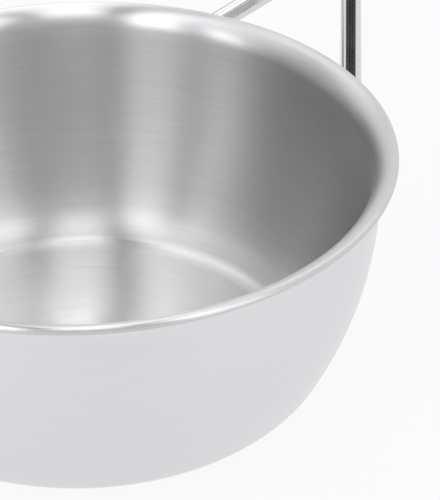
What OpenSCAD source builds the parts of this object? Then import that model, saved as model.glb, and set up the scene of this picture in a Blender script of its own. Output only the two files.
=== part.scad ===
// Round-walled milk pan with a rolled pouring lip and a two-legged welded handle.
// Millimetres. The origin is the centre of the base's underside, +Z is up and the handle points along +X.
// Left and right are as seen from the pan, looking out along the handle: left is +Y.

/* [Pan] */
// Outside diameter over the pouring lip
lip_d = 210; // [175:1:260]
// Height from the base to the top of the lip
pan_h = 84; // [68:1:110]
// How far the lip reaches out past the neck
lip_overhang = 5.6; // [4:0.1:7.5]
// Angle through which the lip is rolled outwards
lip_angle = 80; // [65:1:88]
// Depth of the narrow neck below the top of the lip
neck_drop = 10.6; // [9.5:0.1:20]
// Radius of the wall's bulge from the neck down to the turn
wall_curve_r = 132.7; // [110:0.1:160]
// Radius of the turn from the wall into the flat base
base_turn_r = 20.4; // [12:0.1:30]

/* [Sheet] */
// Thickness of the stainless cooking skin
cooking_skin_t = 0.5; // [0.3:0.05:0.8]
// Thickness of the aluminium core
core_t = 1.7; // [1:0.1:2.6]
// Thickness of the magnetic steel outer skin
outer_skin_t = 0.5; // [0.3:0.05:0.8]
// Length of solid steel that seals the core in at the lip's edge
edge_seal = 1.2; // [0.8:0.1:2.5]

/* [Legs] */
// Diameter of the round bar that each leg is bent from
leg_d = 7.4; // [5:0.1:9]
// Depth of each foot's centre below the top of the lip
foot_drop = 28.2; // [24:0.1:36]
// Angle of each foot round the pan from the handle's own line
foot_angle = 29; // [24:0.5:36]
// Angle between a leg and the handle's line, in the plane of the fork
fork_angle = 31; // [26:0.5:36]
// Slope of the plane of the fork above level
fork_rise = 29.25; // [22:0.25:34]
// Half the distance between the two legs where they enter the nose
leg_gap_half = 5.5; // [4.8:0.1:8]
// Radius of the bend that turns each leg along the handle
leg_bend_r = 60; // [30:1:80]
// Length of each leg inside the nose
leg_tang = 20; // [12:1:22]

/* [Feet] */
// Length of the welded pad under each leg
pad_l = 36; // [30:1:44]
// Width of the welded pad under each leg
pad_w = 14; // [12:0.5:18]
// Thickness of the welded pad under each leg
pad_t = 2.4; // [1.5:0.1:3.5]
// Width of the weld bead round each pad
bead_w = 1.6; // [1:0.1:2.5]
// Height of the weld bead round each pad
bead_h = 1.2; // [0.8:0.1:1.4]

/* [Grip] */
// Thickness of the nose's wall outside the legs
nose_wall = 2.3; // [1.8:0.1:4]
// Length of the nose in front of the grip's shells
nose_l = 9; // [8:1:16]
// Length of the nose's plug inside the shells
plug_l = 16; // [15:1:24]
// Length of the grip's shells along the grip
grip_l = 112; // [95:1:140]
// Width of the grip at its widest place
grip_w = 25; // [24:0.5:32]
// Thickness of the grip at its thickest place
grip_h = 14.5; // [13:0.5:22]
// Thickness of the sheet that the shells are pressed from
shell_t = 1.2; // [0.8:0.1:1.3]
// Slope of the grip's straight end above level
grip_rise = 11; // [5:1:20]
// Radius of the bend from the fork's slope into the grip's
grip_bend_r = 150; // [100:5:180]

/* [Tail] */
// Width of the tail
tail_w = 23; // [20:0.5:28]
// Thickness of the tail
tail_h = 10; // [8:0.5:12]
// Length of the tail between the shells and the hole's centre
tail_l = 6; // [5:0.5:12]
// Length of the tail's tongue inside the shells
tongue_l = 10; // [8:1:16]
// Diameter of the hole that the pan hangs from
hang_hole_d = 9; // [6:0.5:10]

/* [Fits] */
// Gap round the plug and the tongue inside the shells
plug_gap = 0.1; // [0.05:0.05:0.3]
// Gap round each leg in its hole in the nose
leg_gap = 0.1; // [0.05:0.05:0.3]

/* [Hidden] */

steel = [0.78, 0.79, 0.8];
polished = [0.62, 0.64, 0.66];
aluminium = [0.88, 0.89, 0.9];
weld = [0.5, 0.51, 0.52];
fn_round = 180;
fn_bar = 48;
turn_steps = 12;
wall_steps = 14;
roll_steps = 14;
edge_steps = 12;
leg_sides = 32;
bend_steps = 10;

sheet_t = cooking_skin_t + core_t + outer_skin_t;
neck_r = lip_d / 2 - lip_overhang;
neck_z = pan_h - neck_drop;

// The lip is a roll whose radius is that of the middle of the sheet
roll_r = lip_overhang / (1 - cos(lip_angle));
roll_out_r = roll_r - sheet_t / 2;
roll_x = neck_r + roll_out_r;
roll_z = pan_h - sheet_t / 2 - roll_r * sin(lip_angle);
edge_x = roll_x - roll_r * cos(lip_angle);
edge_z = roll_z + roll_r * sin(lip_angle);
seal_angle = edge_seal / roll_r * 180 / PI;

// The bulge's centre is level with the neck, and the turn and the bulge share a tangent
wall_x = neck_r - wall_curve_r;
turn_from = asin((neck_z - base_turn_r) / (wall_curve_r - base_turn_r));
turn_x = wall_x + (wall_curve_r - base_turn_r) * cos(turn_from);

// Each foot's centre lies on the outer face of its pad
foot_z = pan_h - foot_drop;
foot_tilt = asin((neck_z - foot_z) / (wall_curve_r + pad_t));
foot_r = wall_x + (wall_curve_r + pad_t) * cos(foot_tilt);
foot_y = foot_r * sin(foot_angle);

// The legs lie in one sloping plane: straight from the foot, bent, and straight into the nose
bend_start_y = leg_gap_half + leg_bend_r * (1 - cos(fork_angle));
leg_run = (foot_y - bend_start_y) / sin(fork_angle);
nose_x = leg_run * cos(fork_angle) + leg_bend_r * sin(fork_angle);
// A leg's far end starts this far inside the wall before the wall trims it
leg_back = 2 * leg_d;

// A leg's direction along the pad, as an angle in the pad's own plane
leg_dir = [cos(fork_angle) * cos(fork_rise), -sin(fork_angle), cos(fork_angle) * sin(fork_rise)];
leg_out = leg_dir[0] * cos(foot_angle) + leg_dir[1] * sin(foot_angle);
leg_round = leg_dir[1] * cos(foot_angle) - leg_dir[0] * sin(foot_angle);
leg_down = -leg_out * sin(foot_tilt) - leg_dir[2] * cos(foot_tilt);
pad_spin = atan2(leg_round, leg_down);

nose_w = 2 * leg_gap_half + leg_d + 2 * nose_wall;
nose_h = leg_d + 2 * nose_wall;
nose_bevel = 1;

// The grip's line: straight over the plug, bent down to its own slope, straight to the tail
lead_l = plug_l + 2;
grip_turn = fork_rise - grip_rise;
bend_l = grip_bend_r * grip_turn * PI / 180;
belly_at = (lead_l + grip_l - tongue_l) / 2;
// Power of the rounded-off rectangle that the nose, grip and tail have as a section
section_power = 2.6;
section_steps = 14;
ring_steps = 16;

// ---- The pan's wall ----

// Points along an arc, both ends included
function arc(x, z, r, a0, a1, steps) =
    [for (i = [0 : steps]) let (a = a0 + (a1 - a0) * i / steps) [x + r * cos(a), z + r * sin(a)]];

// The face that lies a depth under the sheet's outer face, from the middle of the base to the lip
function sheet_face(depth, roll) =
    concat([[0, depth]],
           arc(turn_x, base_turn_r, base_turn_r - depth, -90, -turn_from, turn_steps),
           arc(wall_x, neck_z, wall_curve_r - depth, -turn_from, 0, wall_steps),
           arc(roll_x, roll_z, roll_out_r + depth, 180, 180 - roll, roll_steps));

function reversed(list) = [for (i = [len(list) - 1 : -1 : 0]) list[i]];

// A layer of the sheet between two depths, turned round the pan's axis
module layer(t0, t1) {
    roll = lip_angle - seal_angle;
    rotate_extrude($fn = fn_round)
        polygon(concat(sheet_face(t0, roll), reversed(sheet_face(t1, roll))));
}

// Everything inside a face that stands a distance off the wall, between the turn and the lip
module pan_inside(off) {
    rotate_extrude($fn = fn_round)
        polygon(concat([[0, neck_z - (wall_curve_r + off) * sin(turn_from)]],
                       arc(wall_x, neck_z, wall_curve_r + off, -turn_from, 0, wall_steps),
                       [[neck_r + off, roll_z], [0, roll_z]]));
}

// The cooking skin is the one that closes over the core's edge in a full round
module cooking_skin() {
    roll = lip_angle - seal_angle;
    color(steel)
        rotate_extrude($fn = fn_round)
            polygon(concat(sheet_face(outer_skin_t + core_t, roll),
                           arc(roll_x, roll_z, roll_out_r, 180 - roll, 180 - lip_angle, 2),
                           arc(edge_x, edge_z, sheet_t / 2, -lip_angle, 180 - lip_angle, edge_steps),
                           reversed(sheet_face(sheet_t, lip_angle))));
}

module aluminium_core() {
    color(aluminium)
        layer(outer_skin_t, outer_skin_t + core_t);
}

module outer_skin() {
    color(steel)
        layer(0, outer_skin_t);
}

// ---- The two legs and their feet ----

// Places a child on a foot: X along the leg, Z straight out of the wall
module at_foot() {
    rotate([0, 0, foot_angle])
        translate([foot_r, 0, foot_z])
            rotate([0, 90 + foot_tilt, 0])
                rotate([0, 0, pad_spin])
                    children();
}

// Places a child in the fork's plane, with X up the slope from between the feet
module in_fork() {
    translate([foot_r * cos(foot_angle), 0, foot_z])
        rotate([0, -fork_rise, 0])
            children();
}

// A bar with round ends in plan, centred, standing through the pad
module stadium(l, w) {
    translate([0, 0, -leg_back])
        linear_extrude(2 * leg_back)
            union() {
                square([l - w, w], center = true);
                for (side = [-1, 1])
                    translate([side * (l - w) / 2, 0])
                        circle(d = w, $fn = fn_bar);
            }
}

module foot_pad() {
    color(polished)
        difference() {
            intersection() {
                at_foot()
                    stadium(pad_l, pad_w);
                pan_inside(pad_t);
            }
            pan_inside(0);
        }
}

module weld_bead() {
    color(weld)
        difference() {
            intersection() {
                at_foot()
                    difference() {
                        stadium(pad_l + 2 * bead_w, pad_w + 2 * bead_w);
                        stadium(pad_l, pad_w);
                    }
                pan_inside(bead_h);
            }
            pan_inside(0);
        }
}

// A solid through rings of points, all going the same way round, with each end closed by the cap's faces
module swept(rings, cap) {
    n = len(rings[0]);
    last = (len(rings) - 1) * n;
    sides = [for (k = [0 : len(rings) - 2], i = [0 : n - 1])
        each let (a = k * n + i, b = k * n + (i + 1) % n, c = b + n, d = a + n) [[a, b, c], [a, c, d]]];
    caps = concat([for (face = cap) reversed(face)], [for (face = cap) [for (i = face) last + i]]);
    polyhedron([for (r = rings) each r], concat(sides, caps));
}

// Centre and heading of the leg's bar, in the plane of the fork
leg_line = concat(
    [[[-leg_back * cos(fork_angle), foot_y + leg_back * sin(fork_angle)], -fork_angle]],
    [for (i = [0 : bend_steps])
        let (a = -fork_angle * (1 - i / bend_steps))
            [[nose_x + leg_bend_r * sin(a), leg_gap_half + leg_bend_r * (1 - cos(a))], a]],
    [[[nose_x + leg_tang, leg_gap_half], 0]]);

function leg_ring(at, heading) =
    [for (i = [0 : leg_sides - 1])
        let (t = 360 * i / leg_sides, r = leg_d / 2)
            [at[0] - r * cos(t) * sin(heading), at[1] + r * cos(t) * cos(heading), r * sin(t)]];

module leg() {
    color(polished)
        difference() {
            in_fork()
                swept([for (stop = leg_line) leg_ring(stop[0], stop[1])],
                      [[for (i = [0 : leg_sides - 1]) i]]);
            pan_inside(pad_t);
        }
}

module left_leg() {
    leg();
}

module right_leg() {
    mirror([0, 1, 0])
        leg();
}

module left_foot_pad() {
    foot_pad();
}

module right_foot_pad() {
    mirror([0, 1, 0])
        foot_pad();
}

module left_weld_bead() {
    weld_bead();
}

module right_weld_bead() {
    mirror([0, 1, 0])
        weld_bead();
}

// ---- The grip ----

// A point of the rounded-off rectangle with half-sizes a and b
function section_point(a, b, t) =
    let (c = cos(t), s = sin(t), p = 2 / section_power)
        [a * sign(c) * pow(abs(c), p), b * sign(s) * pow(abs(s), p)];

function section(a, b) =
    [for (i = [0 : 4 * section_steps - 1]) section_point(a, b, 90 * i / section_steps)];

function half_section(a, b) =
    [for (i = [-section_steps : section_steps]) section_point(a, b, 90 * i / section_steps)];

// Position [x, z] and downward slope of the grip's line, a length along it from the nose
function line_turn(s) = grip_turn * min(max((s - lead_l) / bend_l, 0), 1);
function line_at(s) =
    let (a = line_turn(s), after = max(s - lead_l - bend_l, 0))
        [min(s, lead_l) + grip_bend_r * sin(a) + after * cos(a),
         -grip_bend_r * (1 - cos(a)) - after * sin(a)];

// Share of the belly's extra size, 0 at both ends of the shells and 1 at the belly
function smooth(t) = let (u = min(max(t, 0), 1)) u * u * (3 - 2 * u);
function belly(s) =
    s < belly_at ? smooth((s - lead_l) / (belly_at - lead_l))
                 : smooth((grip_l - tongue_l - s) / (grip_l - tongue_l - belly_at));
function grip_half(s, at_nose, at_belly, at_tail) =
    let (end = s < belly_at ? at_nose : at_tail)
        (end + (at_belly - end) * belly(s)) / 2;

ring_at = concat([0], [for (k = [0 : ring_steps])
                       lead_l + (grip_l - tongue_l - lead_l) * k / ring_steps], [grip_l]);

// One ring of points round half of a shell's sheet, from one seam to the other and back inside
function shell_ring(s, from) =
    let (w = grip_half(s, nose_w, grip_w, tail_w), h = grip_half(s, nose_h, grip_h, tail_h),
         at = line_at(s), turn = line_turn(s), n = 2 * section_steps,
         flat = concat([for (i = [0 : n]) section_point(w, h, from + 180 * i / n)],
                       [for (i = [n : -1 : 0])
                           section_point(w - shell_t, h - shell_t, from + 180 * i / n)]))
        [for (p = flat) [at[0] + p[1] * sin(turn), p[0], at[1] + p[1] * cos(turn)]];

module grip_shell(from) {
    n = 2 * section_steps;
    color(polished)
        in_fork()
            translate([nose_x + nose_l, 0, 0])
                swept([for (s = ring_at) shell_ring(s, from)],
                      [for (i = [0 : n - 1]) [i, i + 1, 2 * n - i, 2 * n + 1 - i]]);
}

// A straight bar of the grip's section, along X from the origin
module section_bar(w, h, l) {
    rotate([90, 0, 90])
        linear_extrude(l)
            polygon(section(w / 2, h / 2));
}

module fork_nose() {
    inset = 2 * (shell_t + plug_gap);
    color(polished)
        in_fork()
            translate([nose_x, 0, 0])
                difference() {
                    union() {
                        section_bar(nose_w - 2 * nose_bevel, nose_h - 2 * nose_bevel, nose_bevel);
                        translate([nose_bevel, 0, 0])
                            section_bar(nose_w, nose_h, nose_l - nose_bevel);
                        translate([nose_l, 0, 0])
                            section_bar(nose_w - inset, nose_h - inset, plug_l);
                    }
                    for (side = [-1, 1])
                        translate([-1, side * leg_gap_half, 0])
                            rotate([0, 90, 0])
                                cylinder(d = leg_d + 2 * leg_gap, h = leg_tang + 1, $fn = fn_bar);
                }
}

module grip_top_shell() {
    grip_shell(0);
}

module grip_bottom_shell() {
    grip_shell(180);
}

module hanging_tail() {
    inset = 2 * (shell_t + plug_gap);
    end = line_at(grip_l);
    color(polished)
        in_fork()
            translate([nose_x + nose_l + end[0], 0, end[1]])
                rotate([0, grip_turn, 0])
                    difference() {
                        union() {
                            translate([-tongue_l, 0, 0])
                                section_bar(tail_w - inset, tail_h - inset, tongue_l);
                            section_bar(tail_w, tail_h, tail_l);
                            translate([tail_l, 0, 0])
                                rotate([0, 0, -90])
                                    rotate_extrude(angle = 180, $fn = fn_round)
                                        polygon(half_section(tail_w / 2, tail_h / 2));
                        }
                        translate([tail_l, 0, -tail_h])
                            cylinder(d = hang_hole_d, h = 2 * tail_h, $fn = fn_bar);
                    }
}

cooking_skin();
aluminium_core();
outer_skin();
left_leg();
right_leg();
left_foot_pad();
right_foot_pad();
left_weld_bead();
right_weld_bead();
fork_nose();
grip_top_shell();
grip_bottom_shell();
hanging_tail();
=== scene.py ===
import math

import bmesh
import bpy
from mathutils import Matrix, Vector


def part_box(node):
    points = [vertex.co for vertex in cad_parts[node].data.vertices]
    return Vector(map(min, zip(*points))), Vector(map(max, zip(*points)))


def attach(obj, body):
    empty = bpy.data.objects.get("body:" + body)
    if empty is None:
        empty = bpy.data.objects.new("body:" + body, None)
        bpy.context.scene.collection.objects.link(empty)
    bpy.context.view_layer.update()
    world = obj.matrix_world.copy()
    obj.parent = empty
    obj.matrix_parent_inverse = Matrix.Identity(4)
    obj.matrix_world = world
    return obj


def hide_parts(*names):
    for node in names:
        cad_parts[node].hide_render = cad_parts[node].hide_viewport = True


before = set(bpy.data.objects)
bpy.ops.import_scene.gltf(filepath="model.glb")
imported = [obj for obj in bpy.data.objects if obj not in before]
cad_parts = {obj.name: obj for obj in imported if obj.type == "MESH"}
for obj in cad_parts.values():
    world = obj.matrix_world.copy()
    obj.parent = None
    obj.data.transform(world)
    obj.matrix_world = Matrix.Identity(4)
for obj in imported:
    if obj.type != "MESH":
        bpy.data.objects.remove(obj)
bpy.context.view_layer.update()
body = "root"
print("frame loaded:", len(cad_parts), "nodes")


# A value in a node tree. Python's own operators on it add the Math nodes.
class Value:
    def __init__(self, tree, socket):
        self.tree = tree
        self.socket = socket

    # Another output of the same node
    def out(self, name):
        return Value(self.tree, self.socket.node.outputs[name])

    def math(self, operation, *others):
        return self.tree.node("ShaderNodeMath", {"operation": operation}, dict(enumerate((self, *others))))

    def __add__(self, other):
        return self.math("ADD", other)

    def __sub__(self, other):
        return self.math("SUBTRACT", other)

    def __rsub__(self, other):
        return self.tree.node("ShaderNodeMath", {"operation": "SUBTRACT"}, {0: other, 1: self})

    def __mul__(self, other):
        return self.math("MULTIPLY", other)

    def __truediv__(self, other):
        return self.math("DIVIDE", other)

    __radd__ = __add__
    __rmul__ = __mul__

    # Eased from 0 at one value to 1 at the other
    def between(self, none, full):
        return self.tree.node("ShaderNodeMapRange", {"interpolation_type": "SMOOTHSTEP"},
                              {"Value": self, "From Min": none, "From Max": full}, "Result")


# A node tree that is filled in from Python
class Tree:
    def __init__(self, nodeTree):
        self.nodeTree = nodeTree

    # Any node, by its type, its settings and the values or links of its sockets
    def node(self, nodeType, settings=None, sockets=None, output=0):
        made = self.nodeTree.nodes.new(nodeType)
        for name, value in (settings or {}).items():
            setattr(made, name, value)
        self.fill(made, sockets or {})
        return Value(self, made.outputs[output]) if len(made.outputs) else None

    def fill(self, made, sockets):
        for name, value in sockets.items():
            if isinstance(value, Value):
                self.nodeTree.links.new(value.socket, made.inputs[name])
            else:
                made.inputs[name].default_value = value

    def vector(self, x, y, z):
        return self.node("ShaderNodeCombineXYZ", None, {"X": x, "Y": y, "Z": z})

    def parts(self, vector):
        x = self.node("ShaderNodeSeparateXYZ", None, {0: vector})
        return x, x.out(1), x.out(2)

    def noise(self, vector, scale, detail, roughness):
        return self.node("ShaderNodeTexNoise", None,
                         {"Vector": vector, "Scale": scale, "Detail": detail, "Roughness": roughness})

    def mix(self, factor, a, b):
        return self.node("ShaderNodeMix", {"data_type": "RGBA"}, {0: factor, 6: a, 7: b}, 2)

    def bump(self, height, distance):
        return self.node("ShaderNodeBump", None, {"Height": height, "Distance": distance, "Strength": 1.0})


# The pan's sizes, in metres
pan = {
    "lipOverhang": 0.0056,
    "lipAngle": math.radians(80),
    "neckDrop": 0.0106,
    "wallCurve": 0.1327,
    "baseTurn": 0.0204,
    "outerSkin": 0.0005,
    "core": 0.0017,
    "cookingSkin": 0.0005,
    "edgeSeal": 0.0012,
    "segments": 320,
}
_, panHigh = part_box("cooking_skin")
lipRadius = panHigh.x
lipHeight = panHigh.z
sheet = pan["outerSkin"] + pan["core"] + pan["cookingSkin"]
neckRadius = lipRadius - pan["lipOverhang"]
neckHeight = lipHeight - pan["neckDrop"]
rollMiddle = pan["lipOverhang"] / (1 - math.cos(pan["lipAngle"]))
rollOuter = rollMiddle - sheet / 2
rollX = neckRadius + rollOuter
rollZ = lipHeight - sheet / 2 - rollMiddle * math.sin(pan["lipAngle"])
edgeX = rollX - rollMiddle * math.cos(pan["lipAngle"])
edgeZ = rollZ + rollMiddle * math.sin(pan["lipAngle"])
sealAngle = pan["edgeSeal"] / rollMiddle
wallX = neckRadius - pan["wallCurve"]
turnFrom = math.asin((neckHeight - pan["baseTurn"]) / (pan["wallCurve"] - pan["baseTurn"]))
turnX = wallX + (pan["wallCurve"] - pan["baseTurn"]) * math.cos(turnFrom)


def arc(x, z, r, a0, a1, steps):
    turns = (a0 + (a1 - a0) * i / steps for i in range(steps + 1))
    return [(x + r * math.cos(a), z + r * math.sin(a)) for a in turns]


# The face a depth under the sheet's outer face, from the middle of the base out to the lip
def sheetFace(depth, roll):
    floor = [(turnX * i / 6, depth) for i in range(6)]
    turn = arc(turnX, pan["baseTurn"], pan["baseTurn"] - depth, -math.pi / 2, -turnFrom, 18)
    wall = arc(wallX, neckHeight, pan["wallCurve"] - depth, -turnFrom, 0, 26)
    lip = arc(rollX, rollZ, rollOuter + depth, math.pi, math.pi - roll, 22)
    return floor + turn + wall[1:] + lip


# A layer's outline between two depths, and the inner layer's, which also wraps the sheet's cut edge
def layerProfile(shallow, deep):
    roll = pan["lipAngle"] - sealAngle
    return sheetFace(shallow, roll) + sheetFace(deep, roll)[::-1]


def cookingProfile():
    roll = pan["lipAngle"]
    depth = pan["outerSkin"] + pan["core"]
    seal = arc(rollX, rollZ, rollOuter, math.pi - roll + sealAngle, math.pi - roll, 3)
    edge = arc(edgeX, edgeZ, sheet / 2, -roll, math.pi - roll, 16)
    return sheetFace(depth, roll - sealAngle) + seal + edge[1:-1] + sheetFace(sheet, roll)[::-1]


# A geometry node tree with named inputs, and the smooth, coloured mesh that it ends in
def newTree(name, inputs):
    group = bpy.data.node_groups.new(name, "GeometryNodeTree")
    group.interface.new_socket("Geometry", in_out="INPUT", socket_type="NodeSocketGeometry")
    for label, kind, value in inputs:
        socket = group.interface.new_socket(label, in_out="INPUT", socket_type=kind)
        if value is not None:
            socket.default_value = value
    group.interface.new_socket("Geometry", in_out="OUTPUT", socket_type="NodeSocketGeometry")
    tree = Tree(group)
    return group, tree, tree.node("NodeGroupInput")


def endTree(tree, entry, geometry):
    smoothed = tree.node("GeometryNodeSetShadeSmooth", None, {"Geometry": geometry})
    real = tree.node("GeometryNodeRealizeInstances", None, {"Geometry": smoothed})
    coloured = tree.node("GeometryNodeSetMaterial", None,
                         {"Geometry": real, "Material": entry.out("Material")})
    tree.node("NodeGroupOutput", None, {0: coloured})


# Turns a line of points in the XZ plane round the Z axis into a closed skin
def latheTree():
    group, tree, entry = newTree("turnedSheet", [
        ("Segments", "NodeSocketInt", 64),
        ("Weld Distance", "NodeSocketFloat", 1e-6),
        ("Material", "NodeSocketMaterial", None),
    ])
    rows = tree.node("GeometryNodeAttributeDomainSize", None, {0: entry}, "Point Count")
    segments = entry.out("Segments")
    grid = tree.node("GeometryNodeMeshGrid", None, {"Vertices X": segments + 1, "Vertices Y": rows})
    index = tree.node("GeometryNodeInputIndex")
    turned = (index / rows).math("FLOOR") * (2 * math.pi) / segments
    x, _, z = tree.parts(tree.node(
        "GeometryNodeSampleIndex", {"data_type": "FLOAT_VECTOR", "domain": "POINT"},
        {"Geometry": entry, "Value": tree.node("GeometryNodeInputPosition"),
         "Index": index.math("FLOORED_MODULO", rows)}))
    place = tree.vector(x * turned.math("COSINE"), x * turned.math("SINE"), z)
    shaped = tree.node("GeometryNodeSetPosition", None, {"Geometry": grid, "Position": place})
    endTree(tree, entry, tree.node("GeometryNodeMergeByDistance", None,
                                   {"Geometry": shaped, "Distance": entry.out("Weld Distance")}))
    return group


# Sweeps a round bar along a line of points
def barTree():
    group, tree, entry = newTree("barAlongPath", [
        ("Radius", "NodeSocketFloat", 0.001),
        ("Sides", "NodeSocketInt", 48),
        ("Material", "NodeSocketMaterial", None),
    ])
    path = tree.node("GeometryNodeMeshToCurve", None, {"Mesh": entry})
    ring = tree.node("GeometryNodeCurvePrimitiveCircle", None,
                     {"Resolution": entry.out("Sides"), "Radius": entry.out("Radius")})
    endTree(tree, entry, tree.node("GeometryNodeCurveToMesh", None,
                                   {"Curve": path, "Profile Curve": ring, "Fill Caps": True}))
    return group


# Lays a rippled weld bead along a closed line of points
def beadTree():
    group, tree, entry = newTree("rippledBead", [
        ("Radius", "NodeSocketFloat", 0.001),
        ("Sides", "NodeSocketInt", 20),
        ("Pitch", "NodeSocketFloat", 0.001),
        ("Ripple", "NodeSocketFloat", 0.1),
        ("Material", "NodeSocketMaterial", None),
    ])
    ripple = entry.out("Ripple")
    path = tree.node("GeometryNodeMeshToCurve", None, {"Mesh": entry})
    length = tree.node("GeometryNodeSplineParameter", output="Length")
    wave = (length / entry.out("Pitch")).math("FRACT").math("SQRT")
    ring = tree.node("GeometryNodeCurvePrimitiveCircle", None,
                     {"Resolution": entry.out("Sides"), "Radius": entry.out("Radius")})
    endTree(tree, entry, tree.node("GeometryNodeCurveToMesh", None, {
        "Curve": path, "Profile Curve": ring, "Scale": wave * ripple + (1 - ripple)}))
    return group


def meshObject(name, points, edges=(), faces=()):
    mesh = bpy.data.meshes.new(name)
    mesh.from_pydata([tuple(p) for p in points], list(edges), list(faces))
    made = bpy.data.objects.new(name, mesh)
    bpy.context.scene.collection.objects.link(made)
    return made


def lineObject(name, points, closed=False):
    count = len(points)
    edges = [(i, i + 1) for i in range(count - 1)]
    if closed:
        edges.append((count - 1, 0))
    return meshObject(name, points, edges)


# Runs a geometry node tree on an object and keeps its result as a plain mesh
def grown(made, group, values):
    modifier = made.modifiers.new(group.name, "NODES")
    modifier.node_group = group
    for item in group.interface.items_tree:
        if item.in_out == "INPUT" and item.name in values:
            modifier[item.identifier] = values[item.name]
    return frozen(made)


# Applies an object's modifiers
def frozen(made):
    bpy.context.view_layer.update()
    shot = made.evaluated_get(bpy.context.evaluated_depsgraph_get())
    mesh = bpy.data.meshes.new_from_object(shot)
    mesh.name = made.name
    made.modifiers.clear()
    made.data = mesh
    return made


# Merges doubles, turns faces outwards and shades smooth up to an angle
def outward(made, sharpAngle=math.radians(35)):
    work = bmesh.new()
    work.from_mesh(made.data)
    bmesh.ops.remove_doubles(work, verts=work.verts, dist=1e-7)
    bmesh.ops.recalc_face_normals(work, faces=work.faces)
    work.to_mesh(made.data)
    work.free()
    made.data.shade_smooth()
    made.data.set_sharp_from_angle(angle=sharpAngle)
    return made


# Gives a piece its material and its place in the frame
def settle(made, node, material):
    made.data.materials.clear()
    made.data.materials.append(material)
    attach(made, body)
    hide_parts(node)
    return made


# A metal whose brush gives what changes over the surface
def metal(name, look, brush):
    material = bpy.data.materials.new(name)
    material.use_nodes = True
    tree = Tree(material.node_tree)
    tree.fill(material.node_tree.nodes["Principled BSDF"], {
        "Metallic": 1.0, "Anisotropic": look.get("anisotropic", 0.0),
        "Anisotropic Rotation": look.get("turn", 0.0),
        **brush(tree, tree.node("ShaderNodeTexCoord", output="Object"), look)})
    return material


# Brush lines that run round the Z axis, across the floor as rings and up the wall as hoops, and painted
# light that makes the base colour brighter on the pan's floor and turn
def roundBrush(tree, place, look):
    x, y, z = tree.parts(place)
    rise = ((x * x + y * y).math("SQRT") + z) * look["pitch"]

    def lineNoise(along, across, detail, roughness):
        stretch = look["arc"] * along
        return tree.noise(tree.vector(x * stretch, y * stretch, rise * across), 1.0, detail, roughness)

    fine = lineNoise(1, 1, 3.0, 0.7)
    broad = lineNoise(0.4, 0.3, 2.0, 0.6)
    scratch = lineNoise(2.5, 1.6, 1.0, 0.5).between(*look["scratch"])
    cloud = tree.noise(place, look["cloud"], 2.0, 0.5)
    lines = fine * (1 - look["broad"]) + broad * look["broad"]
    lip, turn, floor = (z.between(*zones[name]) for name in ("lip", "turn", "floor"))
    rough = look["rough"] + (lines - 0.5) * look["roughSwing"] + (cloud - 0.5) * look["cloudSwing"]
    rough = rough + floor * look["floorSmooth"]
    lipRough = cloud * look["cloudSwing"] + look["lipRough"]
    tint = lines.between(0.3, 0.7) * 0.8 + scratch * 0.2
    # Painted light: the base colour is scaled up on the floor and the turn, standing in for the brighter
    # light those parts show, not the steel's own colour
    paintedLight = floor * (look["floorGain"] - look["turnGain"]) + turn * (look["turnGain"] - 1) + 1
    paintedLitColour = tree.node("ShaderNodeVectorMath", {"operation": "SCALE"},
                       {"Vector": tree.mix(tint, look["dark"], look["light"]), "Scale": paintedLight})
    return {
        "Roughness": rough * (1 - lip) + lipRough * lip,
        "Base Color": tree.mix(lip, paintedLitColour, look["lip"]),
        "Normal": tree.bump((lines + scratch * 0.3) * (1 - lip * 0.8), look["bump"]),
    }


# Fine grain that is the same every way
def plainGrain(tree, place, look):
    return grain(tree, tree.noise(place, look["grain"], 3.0, 0.65), place, look)


# Brush lines along the length of a lofted piece
def longBrush(tree, place, look):
    u, v, _ = tree.parts(tree.node("ShaderNodeTexCoord", output="UV"))
    fine = tree.noise(tree.vector(u * look["along"], v * look["grain"], 0.0), 1.0, 3.0, 0.65)
    return grain(tree, fine, place, look)


def grain(tree, fine, place, look):
    cloud = tree.noise(place, look["cloud"], 2.0, 0.5)
    return {
        "Roughness": look["rough"] + (fine - 0.5) * look["roughSwing"] + (cloud - 0.5) * look["cloudSwing"],
        "Base Color": tree.mix(fine.between(0.3, 0.7), look["dark"], look["light"]),
        "Normal": tree.bump(fine, look["bump"]),
    }


# Heights where each zone starts and where it is full: the lip zone takes the lip's finish, the floor zone a
# smoother finish and painted light, the turn zone only painted light
zones = {
    "lip": (neckHeight - 0.001, neckHeight + 0.007),
    "turn": (0.022, 0.008),
    "floor": (0.0048, 0.0032),
}
# The turn and floor factors scale the base colour in those zones: painted light, brighter on the inside's
# floor and turn; on the outside they are 1 and change nothing
insideLook = {
    "arc": 45.0, "pitch": 2400.0, "broad": 0.25, "scratch": (0.62, 0.72), "cloud": 22.0,
    "rough": 0.37, "roughSwing": 0.08, "cloudSwing": 0.04, "lipRough": 0.28, "floorSmooth": -0.12,
    "dark": (0.49, 0.49, 0.49, 1), "light": (0.56, 0.56, 0.56, 1), "lip": (0.62, 0.621, 0.633, 1),
    "turnGain": 1.22, "floorGain": 1.7, "bump": 0.000006, "anisotropic": 0.97, "turn": 0.25,
}
outsideLook = {
    "arc": 30.0, "pitch": 2600.0, "broad": 0.1, "scratch": (0.62, 0.72), "cloud": 22.0,
    "rough": 0.38, "roughSwing": 0.04, "cloudSwing": 0.04, "lipRough": 0.22, "floorSmooth": 0.0,
    "dark": (0.705, 0.706, 0.724, 1), "light": (0.73, 0.731, 0.75, 1), "lip": (0.73, 0.731, 0.748, 1),
    "turnGain": 1.0, "floorGain": 1.0, "bump": 0.000003, "anisotropic": 0.5, "turn": 0.25,
}
coreLook = {
    "grain": 700.0, "cloud": 40.0, "rough": 0.35, "roughSwing": 0.1, "cloudSwing": 0.05,
    "dark": (0.78, 0.79, 0.8, 1), "light": (0.84, 0.85, 0.86, 1), "bump": 0.000005,
}
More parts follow.
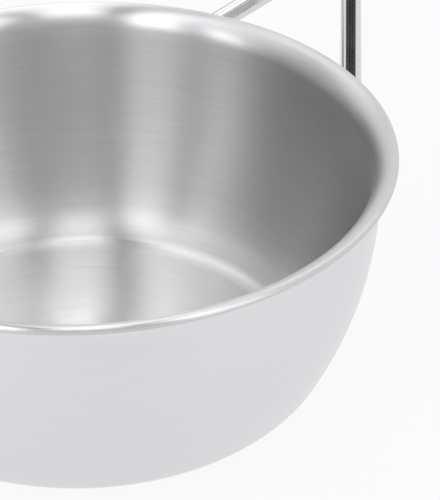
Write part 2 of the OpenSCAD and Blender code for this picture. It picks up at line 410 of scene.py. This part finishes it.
barLook = {
    "grain": 900.0, "cloud": 70.0, "rough": 0.075, "roughSwing": 0.02, "cloudSwing": 0.06,
    "dark": (0.66, 0.66, 0.67, 1), "light": (0.69, 0.69, 0.7, 1), "bump": 0.0000004,
}
gripLook = {
    "along": 90.0, "grain": 5000.0, "cloud": 60.0, "rough": 0.23, "roughSwing": 0.08, "cloudSwing": 0.08,
    "dark": (0.63, 0.632, 0.64, 1), "light": (0.69, 0.692, 0.7, 1), "bump": 0.000003,
}
weldLook = {
    "grain": 1400.0, "cloud": 300.0, "rough": 0.32, "roughSwing": 0.15, "cloudSwing": 0.12,
    "dark": (0.5, 0.49, 0.48, 1), "light": (0.62, 0.61, 0.6, 1), "bump": 0.00002,
}
brushedInside = metal("brushedInside", insideLook, roundBrush)
satinOutside = metal("satinOutside", outsideLook, roundBrush)
rolledCore = metal("rolledCore", coreLook, plainGrain)
polishedBar = metal("polishedBar", barLook, plainGrain)
satinGrip = metal("satinGrip", gripLook, longBrush)
weldSteel = metal("weldSteel", weldLook, plainGrain)
print("materials ready")

# The three layers of the sheet
lathe = latheTree()
layers = (
    ("cookingSkin", "cooking_skin", cookingProfile(), "brushed_inside", brushedInside),
    ("aluminiumCore", "aluminium_core",
     layerProfile(pan["outerSkin"], pan["outerSkin"] + pan["core"]), "core_aluminium", rolledCore),
    ("outerSkin", "outer_skin", layerProfile(0, pan["outerSkin"]), "satin_outside", satinOutside),
)
for name, node, profile, slot, material in layers:
    line = lineObject(name, [(x, 0, z) for x, z in profile])
    skin = outward(grown(line, lathe, {"Segments": pan["segments"], "Material": material}))
    settle(skin, node, material)
    print(name, len(skin.data.polygons), "faces")

# The fork's two legs and their feet
fork = {
    "footDrop": 0.0282,
    "footAngle": math.radians(29),
    "spread": math.radians(31),
    "rise": math.radians(29.25),
    "gapHalf": 0.0055,
    "bendRadius": 0.06,
    "bendSteps": 28,
    "barRadius": 0.0037,
    "barSides": 72,
    "tang": 0.02,
    "back": 0.0148,
    "padLength": 0.036,
    "padWidth": 0.014,
    "padHeight": 0.0024,
    "padRound": 0.0007,
    "padFlat": 0.0002,
    "padSides": 96,
    "padBed": 0.0001,
    "beadRadius": 0.00105,
    "beadRipple": 0.09,
    "beadPitch": 0.0013,
    "beadOut": 0.0004,
    "beadSteps": 260,
}
padWall = pan["wallCurve"] + fork["padHeight"]
footZ = lipHeight - fork["footDrop"]
footTilt = math.asin((neckHeight - footZ) / padWall)
footRadius = wallX + padWall * math.cos(footTilt)
footY = footRadius * math.sin(fork["footAngle"])
bendStartY = fork["gapHalf"] + fork["bendRadius"] * (1 - math.cos(fork["spread"]))
noseX = ((footY - bendStartY) / math.tan(fork["spread"])
         + fork["bendRadius"] * math.sin(fork["spread"]))
forkFrame = (Matrix.Translation((footRadius * math.cos(fork["footAngle"]), 0, footZ))
             @ Matrix.Rotation(-fork["rise"], 4, "Y"))


# The left leg's middle line, from inside its foot to its tang
def legLine():
    spread, bend, steps = fork["spread"], fork["bendRadius"], fork["bendSteps"]
    points = [(-fork["back"] * math.cos(spread), footY + fork["back"] * math.sin(spread), 0)]
    for i in range(steps + 1):
        a = -spread * (1 - i / steps)
        points.append((noseX + bend * math.sin(a), fork["gapHalf"] + bend * (1 - math.cos(a)), 0))
    points.append((noseX + fork["tang"], fork["gapHalf"], 0))
    return [forkFrame @ Vector(p) for p in points]


# The foot's turn, with its long side along the leg, and its middle
def footFrame():
    a, tilt = fork["footAngle"], footTilt
    out = Vector((math.cos(a) * math.cos(tilt), math.sin(a) * math.cos(tilt), -math.sin(tilt)))
    leg = forkFrame.to_3x3() @ Vector((math.cos(fork["spread"]), -math.sin(fork["spread"]), 0))
    along = (leg - out * leg.dot(out)).normalized()
    middle = Vector((footRadius * math.cos(a), footRadius * math.sin(a), footZ))
    return Matrix((along, out.cross(along), out)).transposed().to_4x4(), middle


footTurn, footMiddle = footFrame()


# The point of the wall's outer face, stood off by a distance, under a place on the foot
def onWall(u, v, off):
    high = 0.0
    for _ in range(12):  # closes in on the wall a step at a time
        p = footMiddle + footTurn.to_3x3() @ Vector((u, v, high))
        miss = math.hypot(math.hypot(p.x, p.y) - wallX, p.z - neckHeight) - (pan["wallCurve"] + off)
        high -= miss
    return p


# A loop of points round a slot's shape
def stadium(length, width, inset, count):
    r = width / 2 - inset
    half = (length - width) / 2
    loop = []
    for i in range(count):
        t = 2 * math.pi * (i + 0.5) / count
        loop.append((math.copysign(half, math.cos(t)) + r * math.cos(t), r * math.sin(t)))
    return loop


# The faces over rings of points laid end to end, with a strip or one wide face at both ends
def ringFaces(rows, count, strip):
    faces = []
    for k in range(rows - 1):
        for i in range(count):
            j = (i + 1) % count
            faces.append((k * count + i, k * count + j, (k + 1) * count + j, (k + 1) * count + i))
    for start in (0, (rows - 1) * count):
        if strip:
            faces += [(start + i, start + i + 1, start + count - 2 - i, start + count - 1 - i)
                      for i in range(count // 2 - 1)]
        else:
            faces.append(tuple(range(start, start + count)))
    return faces


# The pad's points and faces: its side, its eased edge and its top, all following the wall
def footPad():
    length, width, high, soft = (fork[k] for k in ("padLength", "padWidth", "padHeight", "padRound"))
    steps = [(0, 0.0), (0, high - soft)]
    steps += [(soft - soft * math.cos(t), high - soft + soft * math.sin(t))
              for t in (math.pi / 12 * k for k in range(1, 7))]
    steps += [(soft + (width / 2 - soft - fork["padFlat"]) * k / 6, high) for k in range(1, 7)]
    points = []
    for inset, up in steps:
        points += [onWall(u, v, up) for u, v in stadium(length, width, inset, fork["padSides"])]
    return points, ringFaces(len(steps), fork["padSides"], True)


def mirrored(points):
    return [(p[0], -p[1], p[2]) for p in points]


# The pan's inside out to its feet, which trims the legs
def trimmer(off):
    outline = arc(wallX, neckHeight, pan["wallCurve"] + off, -turnFrom, 0, 30)
    outline = [(0, outline[0][1])] + outline + [(neckRadius + off, rollZ), (0, rollZ)]
    line = lineObject("trimmer", [(x, 0, z) for x, z in outline])
    return outward(grown(line, lathe, {"Segments": 256}))


# Takes one piece's shape out of another, and keeps the first only
def cut(made, cutter):
    modifier = made.modifiers.new("cut", "BOOLEAN")
    modifier.operation = "DIFFERENCE"
    modifier.solver = "EXACT"
    modifier.object = cutter
    frozen(made)


bar = barTree()
bead = beadTree()
panBody = trimmer(fork["padHeight"])
beadLine = stadium(fork["padLength"] + 2 * fork["beadOut"], fork["padWidth"] + 2 * fork["beadOut"], 0,
                   fork["beadSteps"])
for side, turned in (("left", lambda points: points), ("right", mirrored)):
    leg = lineObject(side + "Leg", turned(legLine()))
    grown(leg, bar, {"Radius": fork["barRadius"], "Sides": fork["barSides"], "Material": polishedBar})
    cut(leg, panBody)
    settle(outward(leg), side + "_leg", polishedBar)

    points, faces = footPad()
    pad = outward(meshObject(side + "FootPad", turned(points), faces=faces), math.radians(50))
    settle(pad, side + "_foot_pad", polishedBar)

    line = turned([onWall(u, v, fork["padBed"]) for u, v in beadLine])
    weld = lineObject(side + "WeldBead", line, closed=True)
    grown(weld, bead, {"Radius": fork["beadRadius"], "Pitch": fork["beadPitch"],
                       "Ripple": fork["beadRipple"], "Material": weldSteel})
    settle(outward(weld, math.radians(80)), side + "_weld_bead", weldSteel)
bpy.data.objects.remove(panBody)
print("legs, feet and welds ready")

# The nose, the grip's two shells and the tail
grip = {
    "noseWall": 0.0023,
    "noseLength": 0.009,
    "noseRound": 0.0014,
    "seam": 0.00025,
    "plugLength": 0.016,
    "straight": 0.002,
    "length": 0.112,
    "width": 0.025,
    "height": 0.0145,
    "shell": 0.0012,
    "rise": math.radians(11),
    "bendRadius": 0.15,
    "tailWidth": 0.023,
    "tailHeight": 0.010,
    "tailLength": 0.006,
    "tongue": 0.010,
    "hangRadius": 0.0045,
    "hangRound": 0.0012,
    "mouthWide": 0.0012,
    "mouthEase": 0.0002,
    "fitGap": 0.0001,
    "power": 2.6,
}
noseWidth = 2 * (fork["gapHalf"] + fork["barRadius"] + grip["noseWall"])
noseHeight = 2 * (fork["barRadius"] + grip["noseWall"])
lead = grip["plugLength"] + grip["straight"]
gripTurn = fork["rise"] - grip["rise"]
bendLength = grip["bendRadius"] * gripTurn
shellEnd = grip["length"] - grip["tongue"]
bellyAt = (lead + shellEnd) / 2
noseFrame = forkFrame @ Matrix.Translation((noseX, 0, 0))
gripFrame = noseFrame @ Matrix.Translation((grip["noseLength"], 0, 0))


# A point of the grip's rounded section
def rounded(a, b, t):
    c, s, p = math.cos(t), math.sin(t), 2 / grip["power"]
    return math.copysign(a * abs(c) ** p, c), math.copysign(b * abs(s) ** p, s)


# How far the grip's line has turned, and where it is, at a length along it
def lineTurn(s):
    return gripTurn * min(max((s - lead) / bendLength, 0), 1)


def lineAt(s):
    a, after, r = lineTurn(s), max(s - lead - bendLength, 0), grip["bendRadius"]
    return Vector((min(s, lead) + r * math.sin(a) + after * math.cos(a), 0,
                   -r * (1 - math.cos(a)) - after * math.sin(a)))


def eased(t):
    u = min(max(t, 0), 1)
    return u * u * (3 - 2 * u)


# Half the grip's width or height at a length along it
def gripHalf(s, atNose, atBelly, atTail):
    if s < bellyAt:
        return (atNose + (atBelly - atNose) * eased((s - lead) / (bellyAt - lead))) / 2
    return (atTail + (atBelly - atTail) * eased((shellEnd - s) / (shellEnd - bellyAt))) / 2


# UVs in metres: along the rings' line, and round each ring from one seam and back
def layGrain(made, rings):
    count = len(rings[0])
    along = [0.0]
    for a, b in zip(rings, rings[1:]):
        along.append(along[-1] + sum((q - p).length for p, q in zip(a, b)) / count)
    step = sum((rings[0][i] - rings[0][i - 1]).length for i in range(count)) / count
    layer = made.data.uv_layers.new(name="grain")
    for loop in made.data.loops:
        k, i = divmod(loop.vertex_index, count)
        layer.data[loop.index].uv = (along[k], min(i, count - i) * step)


# A closed skin over rings of equal length
def loft(name, rings, strip=False):
    points = [p for ring in rings for p in ring]
    made = meshObject(name, points, faces=ringFaces(len(rings), len(rings[0]), strip))
    layGrain(made, rings)
    return made


# One ring round a half shell's sheet, its seams eased where they meet the other half
def shellRing(s, ease, flip):
    w = gripHalf(s, noseWidth, grip["width"], grip["tailWidth"]) - ease
    h = gripHalf(s, noseHeight, grip["height"], grip["tailHeight"]) - ease
    soft, p = grip["seam"], grip["power"] / 2
    lows = [0, 0.05, 0.2, 0.5, 0.8, 1.0, 1.5]
    turns = [math.asin((soft * k / h) ** p) for k in lows]
    turns += [turns[-1] + (math.pi / 2 - turns[-1]) * k / 26 for k in range(1, 27)]
    turns += [math.pi - t for t in reversed(turns[:-1])]
    outer = []
    for t in turns:
        x, y = rounded(w, h, t)
        pull = max(soft - y, 0)
        x -= math.copysign(soft - math.sqrt(max(soft * soft - pull * pull, 0)), x)
        outer.append((x, y))
    inner = [rounded(w + ease - grip["shell"], h + ease - grip["shell"], t) for t in reversed(turns)]
    at, turn = lineAt(s), lineTurn(s)
    ring = []
    for x, y in outer + inner:
        y *= flip
        ring.append(gripFrame @ (at + Vector((y * math.sin(turn), x, y * math.cos(turn)))))
    return ring


# One half of the hollow grip, the upper at 1 and the lower at -1
def gripShell(name, flip):
    soft = grip["seam"]
    ends = [(soft * (1 - math.sin(t)), soft * (1 - math.cos(t))) for t in (0, 0.4, 0.8, 1.2, math.pi / 2)]
    stops = [(s, ease) for ease, s in ends]
    stops += [(soft + (grip["length"] - 2 * soft) * k / 90, 0) for k in range(1, 90)]
    stops += [(grip["length"] - s, ease) for ease, s in reversed(ends)]
    return loft(name, [shellRing(s, ease, flip) for s, ease in stops], strip=True)


for name, node, flip in (("gripTopShell", "grip_top_shell", 1),
                         ("gripBottomShell", "grip_bottom_shell", -1)):
    shell = outward(gripShell(name, flip), math.radians(50))
    settle(shell, node, satinGrip)


def sectionRing(matrix, x, w, h, count=96):
    flat = (rounded(w / 2, h / 2, 2 * math.pi * i / count) for i in range(count))
    return [matrix @ Vector((x, a, b)) for a, b in flat]


# Rings for a straight piece, from stops along it, each with its width and height
def easedBar(matrix, stops):
    return [sectionRing(matrix, x, w, h) for x, w, h in stops]


# A turned solid that cuts a hole, from its radius at each height
def roundCutter(name, matrix, outline, sides=72):
    ways = [2 * math.pi * i / sides for i in range(sides)]
    rings = [[matrix @ Vector((r * math.cos(a), r * math.sin(a), z)) for a in ways] for r, z in outline]
    return outward(loft(name, rings))


def makeNose():
    inset = 2 * (grip["shell"] + grip["fitGap"])
    soft, seam, length = grip["noseRound"], grip["seam"], grip["noseLength"]
    stops = []
    for k in range(9):
        t = math.pi / 2 * k / 8
        pull = 2 * soft * (1 - math.sin(t))
        stops.append((soft * (1 - math.cos(t)), noseWidth - pull, noseHeight - pull))
    stops.append((length - seam, noseWidth, noseHeight))
    stops.append((length - seam * 0.3, noseWidth - seam * 0.6, noseHeight - seam * 0.6))
    stops.append((length, noseWidth - seam * 2, noseHeight - seam * 2))
    stops.append((length, noseWidth - inset, noseHeight - inset))
    stops.append((length + grip["plugLength"], noseWidth - inset, noseHeight - inset))
    made = outward(loft("forkNose", easedBar(noseFrame, stops)))
    r = fork["barRadius"] + grip["fitGap"]
    # A leg's hole, with its mouth eased
    wide, ease = grip["mouthWide"], grip["mouthEase"]
    outline = [(r + wide, ease - wide), (r + ease, ease / 2), (r, ease * 2), (r, fork["tang"])]
    for side in (-1, 1):
        place = (noseFrame @ Matrix.Translation((0, side * fork["gapHalf"], 0))
                 @ Matrix.Rotation(math.pi / 2, 4, "Y"))
        hole = roundCutter("legHole", place, outline)
        cut(made, hole)
        bpy.data.objects.remove(hole)
    return outward(made)


settle(makeNose(), "fork_nose", polishedBar)


def makeTail():
    inset = 2 * (grip["shell"] + grip["fitGap"])
    end = lineAt(grip["length"])
    place = gripFrame @ Matrix.Translation(end) @ Matrix.Rotation(gripTurn, 4, "Y")
    w, h, length, seam = grip["tailWidth"], grip["tailHeight"], grip["tailLength"], grip["seam"]
    stops = [(-grip["tongue"], w - inset, h - inset), (0, w - inset, h - inset),
             (0, w - seam * 2, h - seam * 2), (seam * 0.7, w - seam * 0.6, h - seam * 0.6), (seam, w, h)]
    rings = easedBar(place, stops)
    count = len(rings[0])
    steps = 40
    # Both halves of the section turn towards each other about the hole's axis
    for k in range(steps + 1):
        a = math.pi / 2 * k / steps
        ring = []
        for i in range(count):
            y, z = rounded(w / 2, h / 2, 2 * math.pi * i / count)
            ring.append(place @ Vector((length + abs(y) * math.sin(a), y * math.cos(a), z)))
        rings.append(ring)
    made = loft("hangingTail", rings[:-1])
    work = bmesh.new()
    work.from_mesh(made.data)
    work.verts.ensure_lookup_table()
    last = [work.verts[(len(rings) - 2) * count + i] for i in range(count)]
    lid = [f for f in work.faces if len(f.verts) == count and last[0] in f.verts]
    bmesh.ops.delete(work, geom=lid, context="FACES_ONLY")
    for i, vert in enumerate(last):
        y, z = rounded(w / 2, h / 2, 2 * math.pi * i / count)
        vert.co = place @ Vector((length + abs(y), 0, z))
    bmesh.ops.remove_doubles(work, verts=work.verts, dist=2e-6)
    bmesh.ops.recalc_face_normals(work, faces=work.faces)
    work.to_mesh(made.data)
    work.free()
    r, soft = grip["hangRadius"], grip["hangRound"]
    flare = [(r + soft - soft * math.cos(t), h / 2 - soft * 1.25 + soft * math.sin(t))
             for t in (math.pi / 2 * k / 8 for k in range(9))]
    flare.append((flare[-1][0], h))
    outline = [(a, -b) for a, b in reversed(flare)] + flare
    hole = roundCutter("hangingHole", place @ Matrix.Translation((length, 0, 0)), outline)
    cut(made, hole)
    bpy.data.objects.remove(hole)
    return outward(made)


settle(makeTail(), "hanging_tail", satinGrip)
print("nose, grip and tail ready")

# The view: angles round, above and rolled, the distance and aim from the middle of the lip
camera = {
    "azimuth": math.radians(-53.6),
    "elevation": math.radians(32.66),
    "roll": math.radians(-0.3),
    "distance": 0.945,
    "lens": 207.36,
    "aimRight": 0.0463,
    "aimUp": -0.03295,
}
toRight = Vector((math.cos(camera["azimuth"]), math.sin(camera["azimuth"]), 0))
toBack = Vector((-math.sin(camera["azimuth"]), math.cos(camera["azimuth"]), 0))


def makeCamera():
    e, turn = camera["elevation"], camera["roll"]
    up = Vector((0, 0, 1))
    ahead = toBack * math.cos(e) - up * math.sin(e)
    over = toBack * math.sin(e) + up * math.cos(e)
    right = toRight * math.cos(turn) + over * math.sin(turn)
    top = over * math.cos(turn) - toRight * math.sin(turn)
    data = bpy.data.cameras.new("camera")
    data.lens = camera["lens"]
    data.clip_start = 0.05
    data.clip_end = 60
    made = bpy.data.objects.new("camera", data)
    bpy.context.scene.collection.objects.link(made)
    made.matrix_world = Matrix((right, top, -ahead)).transposed().to_4x4()
    made.location = (up * lipHeight - ahead * camera["distance"]
                     + right * camera["aimRight"] + top * camera["aimUp"])
    bpy.context.scene.camera = made
    return made.location


cameraPlace = makeCamera()

# The white floor and sky. Zones of the light are from none to full.
studio = {
    "paper": (1, 0.985, 0.992, 1),
    "floorSize": 30.0,
    "floorLevel": -0.0002,
    "floorGlow": 0.925,
    "floorShade": 0.045,
    "backdrop": 0.97,
    "level": 1.0,
    "leastLight": 0.04,
    "panelSoft": 4,
    "stripShift": 1.5,
    "stripSoft": 1,
    "stripHeight": (30, 40),
    "stripNear": (0.6, 0.4),
    "boomWidth": 4.0,
    "boomSoft": 1.5,
    "boomAside": (0.72, 0.6),
    "boomRise": (0.5, 0.7),
    "boomShade": 0.97,
}


def makeFloor():
    half, low, shade = studio["floorSize"] / 2, studio["floorLevel"], studio["floorShade"]
    corners = [(-half, -half, low), (half, -half, low), (half, half, low), (-half, half, low)]
    made = meshObject("floor", corners, faces=[(0, 1, 2, 3)])
    material = bpy.data.materials.new("paleFloor")
    material.use_nodes = True
    Tree(material.node_tree).fill(material.node_tree.nodes["Principled BSDF"], {
        "Base Color": (shade, shade, shade, 1), "Roughness": 0.9, "Specular IOR Level": 0.0,
        "Emission Color": studio["paper"], "Emission Strength": studio["floorGlow"]})
    made.data.materials.append(material)


makeFloor()

# Each panel of light: its middle and half-width round from the camera, towards the left, its middle
# and half-height above level, all in degrees, then its strength, below 0 where it takes light away
panels = {
    "cameraGap": (-9, 29, 20, 26, -0.4),
    "mainBox": (28, 10, 28, 24, 1.3),
    "leftBox": (57, 7, 20, 18, 1.2),
    "leftLow": (95, 22, 12, 20, -0.45),
    "backDark": (138, 24, -2, 12, -0.8),
    "topBox": (-4, 54, 62, 11, 0.55),
    "leftHigh": (128, 36, 62, 12, 0.45),
    "backHigh": (180, 16, 62, 12, 0.4),
    "rightHigh": (-140, 24, 62, 12, 0.6),
    "rightBox": (-52, 16, 30, 30, 0.7),
    "overhead": (0, 400, 90, 17, 0.1),
}
# Strips overhead and behind the pan: middle and half-width aside from the camera's own line, strength
strips = {
    "middleBox": (0, 7.0, 1.0),
    "slots": (11.2, 3.0, -2.0),
    "sideBoxes": (22, 7, 1.0),
}


def makeWorld():
    world = bpy.data.worlds.new("studio")
    bpy.context.scene.world = world
    world.use_nodes = True
    tree = Tree(world.node_tree)
    x, y, z = tree.parts(tree.node("ShaderNodeTexCoord", output="Generated"))
    left = (x * toRight.x + y * toRight.y) * -1
    near = (x * toBack.x + y * toBack.y) * -1
    degrees = 180 / math.pi
    bearing = left.math("ARCTAN2", near) * degrees
    height = z.math("ARCSINE") * degrees
    light, panelSoft, stripSoft = studio["level"], studio["panelSoft"], studio["stripSoft"]
    for middle, half, level, tall, strength in panels.values():
        soft = min(half * 0.25, 6)
        off = ((bearing - middle) / 360 + 0.5).math("FRACT") * 360 - 180
        wide = off.math("ABSOLUTE").between(half + soft, half - soft)
        high = (height - level).math("ABSOLUTE").between(tall + panelSoft, tall - panelSoft)
        light = light + wide * high * strength
    aside = (left.math("ARCSINE") * degrees + studio["stripShift"]).math("ABSOLUTE")
    behind = height.between(*studio["stripHeight"]) * near.between(*studio["stripNear"])
    for middle, half, strength in strips.values():
        wide = (aside - middle).math("ABSOLUTE").between(half + stripSoft, half - stripSoft)
        light = light + wide * behind * strength
    light = light.math("MAXIMUM", studio["leastLight"])
    # A dark boom over the handle, in the directions that the right leg's top side reflects
    legWay = forkFrame.to_3x3() @ Vector((math.cos(fork["spread"]), math.sin(fork["spread"]), 0))
    stop = forkFrame @ Vector((noseX * 0.55, -footY * 0.45, 0))
    ring = math.degrees(math.acos(legWay.dot((stop - cameraPlace).normalized())))
    lean = x * legWay.x + y * legWay.y + z * legWay.z
    miss = (lean.math("ARCCOSINE") * degrees - ring).math("ABSOLUTE")
    boom = miss.between(studio["boomWidth"] + studio["boomSoft"], studio["boomWidth"] - studio["boomSoft"])
    boom = boom * left.math("ABSOLUTE").between(*studio["boomAside"]) * z.between(*studio["boomRise"])
    light = light * (1 - boom * studio["boomShade"])
    seen = tree.node("ShaderNodeLightPath", output="Is Camera Ray")
    tree.fill(world.node_tree.nodes["Background"], {
        "Color": tree.mix(seen, (1, 1, 1, 1), studio["paper"]),
        "Strength": light * (1 - seen) + seen * studio["backdrop"]})


makeWorld()
bpy.context.scene.view_settings.view_transform = "Standard"
print("camera, floor and studio light ready")
